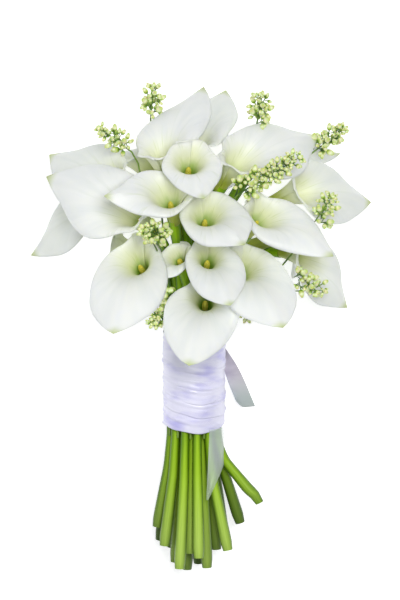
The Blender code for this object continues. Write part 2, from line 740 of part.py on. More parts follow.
def build():
    clear_scene()
    collection = bpy.data.collections.new(OBJECT_NAME)
    cutters = bpy.data.collections.new("joiners")
    for made in (collection, cutters):
        bpy.context.scene.collection.children.link(made)
    cutters.hide_render = True
    for name, colour in COLOURS.items():
        material = bpy.data.materials.new(name)
        material.diffuse_color = colour
        material.use_nodes = True
        material.node_tree.nodes["Principled BSDF"].inputs["Base Color"].default_value = colour

    seats, notches = seat_callas([bloom_base(calla) for calla in CALLAS])
    callas = [calla_standing(calla, seat) for calla, seat in zip(CALLAS, seats)]
    settle(callas)
    sprays = seat_sprays(SPRAYS, notches, callas)
    settle(sprays, callas)

    pieces = []
    for k, (calla, standing) in enumerate(zip(CALLAS, callas), 1):
        pieces.append(make_calla(f"calla_{k:02d}", calla, standing, collection, cutters))
        pieces.append(make_spadix(f"spadix_{k:02d}", calla, standing, collection))
    for k, (spray, standing) in enumerate(zip(SPRAYS, sprays), 1):
        pieces.append(make_spray(f"bud_spray_{k:02d}", spray, standing, collection, cutters))
    pieces.append(make_tape(collection))
    pieces.append(make_wrap(collection))
    pieces.append(make_strip("ribbon_tail_right", right_tail(), collection))
    pieces.append(make_strip("ribbon_tail_front", front_tail(), collection))
    centre_on_footprint(pieces)


if __name__ == "__main__":
    build()
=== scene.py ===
"""Looks of a hand-tied bouquet of white calla lilies, laid on its back on a pale floor.

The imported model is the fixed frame. Each stem's line and each bloom's place are read from it, and the fine
pieces are built round them. X is the bouquet's right, Y runs from the cut stems to the flowers, Z is up.
"""

import json
import logging
import math
from dataclasses import dataclass, field
from enum import Enum
from typing import Any, Callable, Iterable, Optional, Sequence

import bpy
import numpy as np
from mathutils import Matrix, Vector

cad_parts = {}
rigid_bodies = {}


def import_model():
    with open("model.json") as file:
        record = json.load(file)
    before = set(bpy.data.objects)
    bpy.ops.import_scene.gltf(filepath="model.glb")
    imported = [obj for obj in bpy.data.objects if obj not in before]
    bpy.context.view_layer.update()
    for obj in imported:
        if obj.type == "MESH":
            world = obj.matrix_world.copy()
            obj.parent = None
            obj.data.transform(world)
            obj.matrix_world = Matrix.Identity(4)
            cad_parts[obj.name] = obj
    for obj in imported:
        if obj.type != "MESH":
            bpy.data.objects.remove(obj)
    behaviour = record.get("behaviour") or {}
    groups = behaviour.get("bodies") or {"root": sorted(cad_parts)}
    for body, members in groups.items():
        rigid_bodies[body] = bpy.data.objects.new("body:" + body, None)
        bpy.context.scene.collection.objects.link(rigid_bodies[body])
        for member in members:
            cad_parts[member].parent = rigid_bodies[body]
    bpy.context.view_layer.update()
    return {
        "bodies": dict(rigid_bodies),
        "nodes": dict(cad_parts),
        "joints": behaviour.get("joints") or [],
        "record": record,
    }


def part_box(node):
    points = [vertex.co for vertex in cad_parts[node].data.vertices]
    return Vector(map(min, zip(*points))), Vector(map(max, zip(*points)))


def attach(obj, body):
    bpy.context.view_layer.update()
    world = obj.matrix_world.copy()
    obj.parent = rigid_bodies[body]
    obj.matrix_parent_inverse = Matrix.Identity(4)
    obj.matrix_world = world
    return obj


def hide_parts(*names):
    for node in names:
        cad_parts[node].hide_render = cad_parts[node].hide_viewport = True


MM = 0.001
Points = np.ndarray
log = logging.getLogger("bouquet")


class Slot(Enum):
    """Names of the record's material slots, passed along with the new pieces but not used."""

    CALLA = "calla"
    SPADIX = "spadix"
    BUDS = "buds"
    SATIN = "satin"


class Side(Enum):
    """The two faces of a spathe."""

    INSIDE = "inside"
    OUTSIDE = "outside"


# Shader tools


class Value:
    """A number socket in a node tree. Sums, differences and products of it add Math nodes."""

    def __init__(self, tree: "ShaderTree", socket: bpy.types.NodeSocket) -> None:
        """Wraps one output socket of a tree."""
        self.tree = tree
        self.socket = socket

    def _math(self, operation: str, first: Any, second: Any) -> "Value":
        """Adds a Math node and returns its result."""
        settings = {"operation": operation}
        return Value(self.tree, self.tree.node("ShaderNodeMath", settings, {0: first, 1: second}))

    def __add__(self, other: Any) -> "Value":
        """Returns self + other."""
        return self._math("ADD", self, other)

    __radd__ = __add__

    def __sub__(self, other: Any) -> "Value":
        """Returns self - other."""
        return self._math("SUBTRACT", self, other)

    def __rsub__(self, other: Any) -> "Value":
        """Returns other - self."""
        return self._math("SUBTRACT", other, self)

    def __mul__(self, other: Any) -> "Value":
        """Returns self * other."""
        return self._math("MULTIPLY", self, other)

    __rmul__ = __mul__

    def between(self, low: float, high: float) -> "Value":
        """Returns 0 at low, 1 at high and an eased share between them.

        Args:
            low: value that gives 0.
            high: value that gives 1.

        Returns:
            The eased share.
        """
        settings = {"interpolation_type": "SMOOTHSTEP"}
        inputs = {"Value": self, "From Min": low, "From Max": high}
        return Value(self.tree, self.tree.node("ShaderNodeMapRange", settings, inputs))


class ShaderTree:
    """One material's node tree, with its Principled shader."""

    def __init__(self, name: str) -> None:
        """Makes a material with nothing but its Principled shader.

        Args:
            name: the material's name.
        """
        self.material = bpy.data.materials.new(name)
        self.material.use_nodes = True
        self.nodes = self.material.node_tree.nodes
        self.links = self.material.node_tree.links
        self.principled = self.nodes["Principled BSDF"]

    def put(self, socket: bpy.types.NodeSocket, value: Any) -> None:
        """Links a socket to a value's socket, or sets it to a constant.

        Args:
            socket: the input socket.
            value: a Value, an output socket or a constant.
        """
        if isinstance(value, Value):
            value = value.socket
        if isinstance(value, bpy.types.NodeSocket):
            self.links.new(value, socket)
        else:
            socket.default_value = value

    def node(
        self, kind: str, settings: dict[str, Any], inputs: dict[Any, Any], output: Any = 0,
    ) -> bpy.types.NodeSocket:
        """Adds a node.

        Args:
            kind: the node's type.
            settings: attributes of the node, and "stops" for a ramp, set first.
            inputs: values or links by socket name or number.
            output: name or number of the socket to return.

        Returns:
            The named output socket.
        """
        made = self.nodes.new(kind)
        for key, value in settings.items():
            if key != "stops":
                setattr(made, key, value)
        stops = settings.get("stops", ())
        for k, (place, colour) in enumerate(stops):
            elements = made.color_ramp.elements
            stop = elements[k] if k < 2 else elements.new(place)
            stop.position = place
            stop.color = (*colour, 1.0)
        for key, value in inputs.items():
            self.put(made.inputs[key], value)
        return made.outputs[output]

    def attribute(self, name: str) -> Value:
        """Returns a number that the mesh carries at each point."""
        return Value(self, self.node("ShaderNodeAttribute", {"attribute_name": name}, {}, "Fac"))

    def coordinates(self, kind: str, scale: Sequence[float]) -> bpy.types.NodeSocket:
        """Coordinates on the surface, scaled.

        Args:
            kind: Object, UV or grain, which a stem's points carry.
            scale: the factor along each axis.

        Returns:
            The scaled vector.
        """
        if kind == "grain":
            place = self.node("ShaderNodeAttribute", {"attribute_name": kind}, {}, "Vector")
        else:
            place = self.node("ShaderNodeTexCoord", {}, {}, kind)
        return self.node("ShaderNodeMapping", {}, {"Vector": place, "Scale": scale})

    def axis(self, kind: str, number: int) -> Value:
        """Returns one of the Object, UV or grain coordinates, 0 for X."""
        place = self.coordinates(kind, (1.0, 1.0, 1.0))
        return Value(self, self.node("ShaderNodeSeparateXYZ", {}, {0: place}, number))

    def noise(self, kind: str, scale: Sequence[float], detail: float = 3.0) -> Value:
        """Returns smooth noise, 0 to 1.

        Args:
            kind: Object, UV or grain.
            scale: how many cells it has in a unit, along each axis.
            detail: how many finer layers it has.

        Returns:
            The noise.
        """
        inputs = {"Vector": self.coordinates(kind, scale), "Scale": 1.0, "Detail": detail}
        return Value(self, self.node("ShaderNodeTexNoise", {}, inputs, 0))

    def mix(self, share: Any, first: Any, second: Any) -> bpy.types.NodeSocket:
        """Mixes two colours.

        Args:
            share: 0 gives the first and 1 the second.
            first: a colour or a socket.
            second: a colour or a socket.

        Returns:
            The mixed colour.
        """
        colours = [(*c, 1.0) if isinstance(c, tuple) and len(c) == 3 else c for c in (first, second)]
        settings = {"data_type": "RGBA"}
        return self.node("ShaderNodeMix", settings, {0: share, 6: colours[0], 7: colours[1]}, 2)

    def ramp(self, value: Value, *stops: tuple[float, tuple[float, float, float]]) -> bpy.types.NodeSocket:
        """Returns a colour from a ramp of (place, colour) stops."""
        return self.node("ShaderNodeValToRGB", {"stops": stops}, {"Fac": value})

    def bump(self, height: Value, distance: float, strength: float = 1.0) -> None:
        """Raises the surface by a height of 0 to 1 times a distance in metres."""
        inputs = {"Height": height, "Distance": distance, "Strength": strength}
        self.put(self.principled.inputs["Normal"], self.node("ShaderNodeBump", {}, inputs))

    def finish(self, colour: Any, roughness: Any, **constants: Any) -> bpy.types.Material:
        """Feeds the Principled shader.

        Args:
            colour: base colour or its socket.
            roughness: number or value.
            constants: other sockets of the shader, with _ for a space.

        Returns:
            The finished material.
        """
        self.put(self.principled.inputs["Base Color"], colour)
        self.put(self.principled.inputs["Roughness"], roughness)
        for key, value in constants.items():
            self.put(self.principled.inputs[key.replace("_", " ")], value)
        return self.material


# Finishes


@dataclass(frozen=True)
class SpatheFinish:
    """White waxy petal, green-yellow in its throat and at its neck, with fine veins running along it;
    painted shade greys it low in the bunch.
    """

    side: Side
    white: tuple = (0.875, 0.895, 0.87)
    shade: tuple = (0.76, 0.80, 0.80)
    # Grey of the painted shade on petals that lie low in the bunch.
    low: tuple = (0.64, 0.68, 0.64)
    cream: tuple = (0.80, 0.84, 0.58)
    throat: tuple = (0.40, 0.46, 0.06)
    neck: tuple = (0.30, 0.50, 0.04)
    tip_green: tuple = (0.42, 0.52, 0.14)
    grey_shade_below: float = 0.115
    grey_shade_fullest_at: float = 0.045

    def make(self) -> bpy.types.Material:
        """Mixes the petal's colours for its side.

        Returns:
            The material.
        """
        tree = ShaderTree(f"spathe {self.side.value}")
        reach = tree.attribute("from_neck") + (tree.noise("UV", (9.0, 3.0, 1.0)) - 0.5) * 0.10
        veins = tree.noise("UV", (70.0, 2.5, 1.0), 2.0)
        cloud = tree.noise("Object", (28.0, 28.0, 28.0))
        soft = tree.noise("UV", (22.0, 1.6, 1.0), 2.0)
        grey = (soft.between(0.42, 0.72) * 0.7 + veins.between(0.45, 0.75) * 0.3) * (0.45 + cloud * 0.5)
        white = tree.mix(grey, self.white, self.shade)
        # Painted shade: the lower a petal lies, the more it is mixed towards grey, as if shaded by the
        # blooms above.
        depth = tree.axis("Object", 2).between(self.grey_shade_below, self.grey_shade_fullest_at)
        white = tree.mix(depth * 0.55, white, self.low)
        if self.side is Side.INSIDE:
            colour = tree.mix(reach.between(0.50, 0.24), white, self.cream)
            colour = tree.mix(reach.between(0.30, 0.06), colour, self.throat)
        else:
            colour = tree.mix(reach.between(0.52, 0.20), white, self.cream)
            colour = tree.mix(reach.between(0.26, 0.05), colour, self.neck)
            streaks = veins.between(0.55, 0.75) * reach.between(0.75, 0.2) * 0.35
            colour = tree.mix(streaks, colour, self.tip_green)
        colour = tree.mix(tree.attribute("to_tip").between(0.35, 1.0) * 0.8, colour, self.tip_green)
        tree.bump(veins, 0.00016, 0.5)
        roughness = tree.noise("Object", (160.0, 160.0, 160.0)) * 0.12 + 0.38
        return tree.finish(
            colour, roughness, Subsurface_Weight=0.35, Subsurface_Scale=0.003,
            Subsurface_Radius=(1.0, 1.0, 0.7), Specular_IOR_Level=0.35,
        )


@dataclass(frozen=True)
class StemFinish:
    """Fresh green stem, streaked lengthwise, pale at its cut end, with painted shade on its sides and low
    down in the bundle.
    """

    deep: tuple = (0.10, 0.25, 0.002)
    bright: tuple = (0.42, 0.70, 0.012)
    pale: tuple = (0.62, 0.80, 0.20)
    # Green of the painted shade on each stem's sides, which leaves its top looking lit.
    shade: tuple = (0.055, 0.15, 0.002)
    # Near-black green of the painted shade on stems that lie low in the bundle's gaps.
    inner: tuple = (0.012, 0.045, 0.002)
    cut_from: float = -0.10
    cut_to: float = -0.19
    head_from: float = 0.02
    head_to: float = 0.08
    gap_shade_below: float = 0.078
    gap_shade_fullest_at: float = 0.030
    lit_crown: float = 0.0046
    shaded_flank: float = 0.0010

    def make(self) -> bpy.types.Material:
        """Builds the finish.

        Returns:
            The material.
        """
        tree = ShaderTree("stem")
        streaks = tree.noise("grain", (330.0, 330.0, 9.0), 4.0)
        broad = tree.noise("grain", (90.0, 90.0, 12.0), 1.0)
        along = tree.axis("Object", 1)
        colour = tree.mix((streaks * 0.6 + broad * 0.4).between(0.30, 0.62), self.deep, self.bright)
        near_cut = along.between(self.cut_from, self.cut_to)
        colour = tree.mix(near_cut * (0.20 + streaks * 0.6), colour, self.pale)
        # Painted shade: each stem darkens from its top to its sides, as if lit from above.
        side = tree.axis("grain", 1).between(self.lit_crown, self.shaded_flank)
        colour = tree.mix(side * 0.75, colour, self.shade)
        colour = tree.mix(along.between(self.head_from, self.head_to) * 0.3, colour, self.deep)
        # Painted shade: the lower a stem lies, the darker it is, as in the shaded gaps of the bundle.
        depth = tree.axis("Object", 2).between(self.gap_shade_below, self.gap_shade_fullest_at)
        colour = tree.mix(depth * 0.85, colour, self.inner)
        tree.bump(streaks, 0.0004, 0.7)
        return tree.finish(colour, 0.34 + streaks * 0.2, Specular_IOR_Level=0.3)


@dataclass(frozen=True)
class CutFinish:
    """Pale, wet, porous face of a cut stem."""

    flesh: tuple = (0.62, 0.74, 0.36)
    pores: tuple = (0.36, 0.50, 0.12)

    def make(self) -> bpy.types.Material:
        """Builds the finish.

        Returns:
            The material.
        """
        tree = ShaderTree("cut stem")
        inputs = {"Vector": tree.coordinates("Object", (1100.0, 1100.0, 1100.0)), "Scale": 1.0}
        cells = Value(tree, tree.node("ShaderNodeTexVoronoi", {}, inputs))
        tree.bump(cells, 0.0002)
        return tree.finish(tree.mix(cells.between(0.2, 0.7), self.pores, self.flesh), 0.35 + cells * 0.2)


@dataclass(frozen=True)
class SpadixFinish:
    """Granular yellow spadix, greener at its foot."""

    gold: tuple = (0.70, 0.60, 0.04)
    lemon: tuple = (0.84, 0.80, 0.22)
    green: tuple = (0.34, 0.40, 0.04)

    def make(self) -> bpy.types.Material:
        """Builds the finish.

        Returns:
            The material.
        """
        tree = ShaderTree("spadix")
        inputs = {"Vector": tree.coordinates("Object", (1300.0, 1300.0, 1300.0)), "Scale": 1.0}
        grains = Value(tree, tree.node("ShaderNodeTexVoronoi", {}, inputs))
        colour = tree.mix(grains.between(0.1, 0.6), self.lemon, self.gold)
        colour = tree.mix(tree.attribute("from_neck").between(0.45, 0.0), colour, self.green)
        tree.bump(1.0 - grains, 0.0005)
        return tree.finish(colour, 0.55 + grains * 0.2)


@dataclass(frozen=True)
class BudFinish:
    """Cream-green bud with a darker green calyx at its foot."""

    calyx: tuple = (0.20, 0.36, 0.02)
    green: tuple = (0.54, 0.68, 0.15)
    cream: tuple = (0.90, 0.92, 0.60)

    def make(self) -> bpy.types.Material:
        """Builds the finish.

        Returns:
            The material.
        """
        tree = ShaderTree("bud")
        mottle = tree.noise("Object", (260.0, 260.0, 260.0))
        height = tree.attribute("from_neck") + (mottle - 0.5) * 0.35
        stops = ((0.10, self.calyx), (0.30, self.green), (0.55, self.cream), (0.98, self.green))
        colour = tree.ramp(height, *stops)
        tree.bump(mottle, 0.0003)
        return tree.finish(colour, 0.35 + mottle * 0.2, Subsurface_Weight=0.2, Subsurface_Scale=0.0015)


@dataclass(frozen=True)
class TwigFinish:
    """Thin dark green twig."""

    dark: tuple = (0.045, 0.12, 0.012)
    light: tuple = (0.22, 0.36, 0.05)

    def make(self) -> bpy.types.Material:
        """Builds the finish.

        Returns:
            The material.
        """
        tree = ShaderTree("twig")
        streaks = tree.noise("Object", (150.0, 90.0, 150.0), 4.0)
        tree.bump(streaks, 0.0003)
        colour = tree.mix(streaks.between(0.35, 0.7), self.dark, self.light)
        return tree.finish(colour, 0.45 + streaks * 0.15)


@dataclass(frozen=True)
class SatinFinish:
    """Pale satin with a fine weave and soft clouds of painted sheen and shade, which may turn to another
    colour towards its end.
    """

    name: str
    # Lit and shaded colours of the satin, mixed in clouds of painted sheen.
    light: tuple
    deep: tuple
    end: Optional[tuple] = None
    alpha: float = 1.0
    threads: tuple = (30.0, 220.0, 1.0)

    def make(self) -> bpy.types.Material:
        """Builds the finish.

        Returns:
            The material.
        """
        tree = ShaderTree(self.name)
        weave = tree.noise("UV", self.threads, 2.0)
        cloud = tree.noise("Object", (45.0, 100.0, 45.0), 2.0)
        # Painted sheen and shade: random clouds mix the satin's light and deep colours.
        shine = (cloud * 0.75 + weave * 0.25).between(0.25, 0.60)
        colour = tree.mix(shine, self.deep, self.light)
        if self.end:
            down = tree.axis("UV", 1)
            colour = tree.mix(down.between(0.35, 0.95) * (0.5 + cloud * 0.5), colour, self.end)
        tree.bump(weave * 0.3 + cloud * 0.7, 0.0004, 0.6)
        return tree.finish(
            colour, 0.24 + weave * 0.14, Sheen_Weight=0.12, Specular_IOR_Level=0.6, Alpha=self.alpha,
        )


@dataclass(frozen=True)
class TapeFinish:
    """Matt green crinkled floral tape."""

    dark: tuple = (0.035, 0.085, 0.02)
    light: tuple = (0.09, 0.18, 0.05)

    def make(self) -> bpy.types.Material:
        """Builds the finish.

        Returns:
            The material.
        """
        tree = ShaderTree("floral tape")
        crinkle = tree.noise("Object", (300.0, 900.0, 300.0), 4.0)
        tree.bump(crinkle, 0.0003)
        return tree.finish(tree.mix(crinkle, self.dark, self.light), 0.75 + crinkle * 0.15)


@dataclass(frozen=True)
class FloorFinish:
    """Plain white floor with a faint unevenness and a glow that keeps it white under the sky."""

    white: tuple = (0.93, 0.93, 0.93)
    grey: tuple = (0.89, 0.89, 0.90)
    glow: float = 0.6

    def make(self) -> bpy.types.Material:
        """Builds the finish.

        Returns:
            The material.
        """
        tree = ShaderTree("floor")
        cloud = tree.noise("Object", (3.0, 3.0, 3.0))
        constants = {"Emission_Color": (1.0, 1.0, 1.0, 1.0), "Emission_Strength": self.glow}
        return tree.finish(tree.mix(cloud, self.white, self.grey), 0.8, **constants)


# Modelling tools


def deselect() -> None:
    """Leaves nothing selected, in object mode."""
    if bpy.context.object and bpy.context.object.mode != "OBJECT":
        bpy.ops.object.mode_set(mode="OBJECT")
    bpy.ops.object.select_all(action="DESELECT")


def take(obj: bpy.types.Object) -> bpy.types.Object:
    """Makes an object the only selected one, and the active one.

    Args:
        obj: the object.

    Returns:
        The same object.
    """
    deselect()
    obj.select_set(True)
    bpy.context.view_layer.objects.active = obj
    return obj


def apply_modifier(obj: bpy.types.Object, kind: str, **settings: Any) -> None:
    """Adds a modifier and applies it.

    Args:
        obj: the object that it shapes.
        kind: the modifier's type.
        settings: its settings.
    """
    take(obj)
    modifier = obj.modifiers.new(kind.title(), kind)
    for key, value in settings.items():
        setattr(modifier, key, value)
    bpy.ops.object.modifier_apply(modifier=modifier.name)


def join(name: str, objects: Sequence[bpy.types.Object]) -> bpy.types.Object:
    """Joins objects into the first one.

    Args:
        name: name of the joined piece.
        objects: the objects, whose material slots are kept.

    Returns:
        The joined object.
    """
    deselect()
    for obj in objects:
        obj.select_set(True)
    bpy.context.view_layer.objects.active = objects[0]
    bpy.ops.object.join()
    objects[0].name = objects[0].data.name = name
    return objects[0]


def grid(
    name: str, columns: int, rows: int, place: Callable[[float, float], Sequence[float]],
) -> bpy.types.Object:
    """A flat grid laid into shape.

    Args:
        name: name of the object.
        columns: cells across.
        rows: cells along.
        place: gives a point in metres for a share across and a share along, both 0 to 1.

    Returns:
        The shaped sheet, with the flat grid's UV map.
    """
    deselect()
    bpy.ops.mesh.primitive_grid_add(
        x_subdivisions=columns, y_subdivisions=rows, size=2.0, location=(0, 0, 0),
    )
    sheet = bpy.context.object
    sheet.name = name
    for vertex in sheet.data.vertices:
        vertex.co = place((vertex.co.x + 1.0) / 2.0, (vertex.co.y + 1.0) / 2.0)
    return sheet


def tube(
    name: str, points: Points, radii: Sequence[float], turns: int = 4, steps: int = 2,
) -> bpy.types.Object:
    """A smooth closed tube drawn as a curve and made a mesh.

    Args:
        name: name of the object.
        points: the points that its centre line follows, in metres.
        radii: its radius at each, in metres.
        turns: the curve's bevel resolution.
        steps: rings for each point.

    Returns:
        The tube.
    """
    curve = bpy.data.curves.new(name, "CURVE")
    curve.dimensions = "3D"
    curve.bevel_depth = 1.0
    curve.bevel_resolution = turns
    curve.resolution_u = steps
    curve.use_fill_caps = True
    line = curve.splines.new("NURBS")
    line.points.add(len(points) - 1)
    for point, place, radius in zip(line.points, points, radii):
        point.co = (*place, 1.0)
        point.radius = radius
    line.order_u = min(4, len(points))
    line.use_endpoint_u = True
    obj = bpy.data.objects.new(name, curve)
    bpy.context.scene.collection.objects.link(obj)
    take(obj)
    bpy.ops.object.convert(target="MESH")
    weld(obj)
    return obj


def weld(obj: bpy.types.Object) -> None:
    """Merges doubled points and turns faces outwards.

    Args:
        obj: the object to mend.
    """
    take(obj)
    bpy.ops.object.mode_set(mode="EDIT")
    bpy.ops.mesh.select_all(action="SELECT")
    bpy.ops.mesh.remove_doubles(threshold=0.00001)
    bpy.ops.mesh.normals_make_consistent(inside=False)
    bpy.ops.object.mode_set(mode="OBJECT")


def carry(obj: bpy.types.Object, name: str, values: Iterable[float]) -> None:
    """Gives a mesh a number at each point."""
    attribute = obj.data.attributes.new(name, "FLOAT", "POINT")
    attribute.data.foreach_set("value", np.array(list(values), np.float32))


def carry_grain(obj: bpy.types.Object, line: Points) -> None:
    """Gives a tube's points their place round and along its centre line, in metres, for its streaks.

    Args:
        obj: the tube.
        line: the points of its centre line.
    """
    places = np.array([vertex.co for vertex in obj.data.vertices])
    nearest = np.linalg.norm(places[:, None] - line[None], axis=2).argmin(axis=1)
    ways = np.gradient(line, axis=0)
    ways /= np.linalg.norm(ways, axis=1)[:, None]
    lengths = np.concatenate([[0.0], np.cumsum(np.linalg.norm(np.diff(line, axis=0), axis=1))])
    way, offset = ways[nearest], places - line[nearest]
    along = (offset * way).sum(axis=1)
    side = np.cross(way, (0.0, 0.0, 1.0))
    side /= np.linalg.norm(side, axis=1)[:, None]
    up = np.cross(side, way)
    parts = [(offset * side).sum(axis=1), (offset * up).sum(axis=1), lengths[nearest] + along]
    grain = np.stack(parts, axis=1)
    attribute = obj.data.attributes.new("grain", "FLOAT_VECTOR", "POINT")
    attribute.data.foreach_set("vector", grain.astype(np.float32).ravel())


def dress(obj: bpy.types.Object, *materials: bpy.types.Material) -> None:
    """Gives a mesh its material slots and shades it smooth.

    Args:
        obj: the mesh object.
        materials: the materials of its slots, in order.
    """
    obj.data.materials.clear()
    for material in materials:
        obj.data.materials.append(material)
    take(obj)
    bpy.ops.object.shade_smooth_by_angle(angle=math.radians(50.0))


def settle_piece(obj: bpy.types.Object, slot: Slot, *nodes: str) -> bpy.types.Object:
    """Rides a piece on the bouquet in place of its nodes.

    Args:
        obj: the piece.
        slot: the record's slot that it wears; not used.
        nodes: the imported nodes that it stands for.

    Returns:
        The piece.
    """
    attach(obj, "root")
    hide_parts(*nodes)
    log.info("%s stands for %s", obj.name, ", ".join(nodes))
    return obj


def direction(azimuth: float, elevation: float) -> Vector:
    """Unit vector at an azimuth in the XY plane and an elevation towards +Z, both in degrees."""
    turn, rise = math.radians(azimuth), math.radians(elevation)
    return Vector((math.cos(rise) * math.cos(turn), math.cos(rise) * math.sin(turn), math.sin(rise)))


# Reading the frame


class NodeShape:
    """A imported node's points and edges, read from a copy whose loose triangles are merged."""

    most_steps: int = 200

    def __init__(self, node: bpy.types.Object) -> None:
        """Reads the node and leaves it as it is.

        Args:
            node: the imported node.
        """
        copy = bpy.data.objects.new("merged", node.data.copy())
        bpy.context.scene.collection.objects.link(copy)
        take(copy)
        bpy.ops.object.mode_set(mode="EDIT")
        bpy.ops.mesh.select_all(action="SELECT")
        bpy.ops.mesh.remove_doubles(threshold=0.00002)
        bpy.ops.object.mode_set(mode="OBJECT")
        self.points = np.array([vertex.co for vertex in copy.data.vertices])
        self.edges = np.array([edge.vertices for edge in copy.data.edges])
        bpy.data.objects.remove(copy)

    def low_end(self, sides: int) -> Vector:
        """Finds the cut end, whose points lie nearest the one that is lowest along Y.

        Args:
            sides: how many points the end has.

        Returns:
            The middle of the end.
        """
        low = self.points[self.points[:, 1].argmin()]
        near = np.argsort(np.linalg.norm(self.points - low, axis=1))[:sides]
        return Vector(self.points[near].mean(axis=0))

    def section(self, point: Vector, along: Vector, reach: float) -> Optional[tuple[Vector, float]]:
        """Cuts the node across.

        Args:
            point: a point of the cutting plane, near the middle of what is cut.
            along: the plane's normal.
            reach: how far from the point a cut edge may lie.

        Returns:
            The middle of the section and the radius of a circle of its area, or None.
        """
        axis = np.array(along)
        offset = (self.points - np.array(point)) @ axis
        first, second = offset[self.edges[:, 0]], offset[self.edges[:, 1]]
        cut = first * second < 0.0
        share = (first[cut] / (first[cut] - second[cut]))[:, None]
        ends = self.points[self.edges[cut]]
        crossing = ends[:, 0] + share * (ends[:, 1] - ends[:, 0]) - np.array(point)
        crossing = crossing[np.linalg.norm(crossing, axis=1) < reach]
        if len(crossing) < 4:
            return None
        side = np.array(along.orthogonal().normalized())
        other = np.cross(axis, side)
        flat = np.stack([crossing @ side, crossing @ other], axis=1)
        spread = flat - flat.mean(axis=0)
        flat = flat[np.argsort(np.arctan2(spread[:, 1], spread[:, 0]))]
        after = np.roll(flat, -1, axis=0)
        cross = flat[:, 0] * after[:, 1] - after[:, 0] * flat[:, 1]
        area = cross.sum() / 2.0
        centre = ((flat + after) * cross[:, None]).sum(axis=0) / (6.0 * area)
        middle = np.array(point) + side * centre[0] + other * centre[1]
        return Vector(middle), math.sqrt(abs(area) / math.pi)

    def centre_line(self, sides: int, reach: float, end: Vector, step: float) -> list[tuple[Vector, float]]:
        """Walks up a stem from its cut end.

        Args:
            sides: how many points the cut end has.
            reach: how far from its middle the stem's skin may lie.
            end: where the stem ends; the walk stops two steps short of it.
            step: the walk's step.

        Returns:
            Middles and radii along the stem.
        """
        here = self.low_end(sides)
        way = Vector((0.0, 0.98, 0.17))
        line: list[tuple[Vector, float]] = []
        for _ in range(self.most_steps):
            ahead = here + way * step
            found = self.section(ahead, way, reach)
            if found is None or (end - ahead).length < 2.0 * step:
                break
            if not line:
                line.append((here, found[1]))
            way = (found[0] - here).normalized()
            here = found[0]
            line.append(found)
        return line


# Flowers


@dataclass(frozen=True)
class BloomForm:
    """How one bloom is turned and cut.

    The tip's azimuth and elevation are in degrees. Reach is the lip's share of its full length, width the
    mouth's width over its length, and ruffle the size of the waves along its edge.
    """

    tip: tuple[float, float]
    reach: float = 1.0
    width: float = 0.88
    ruffle: float = 1.0


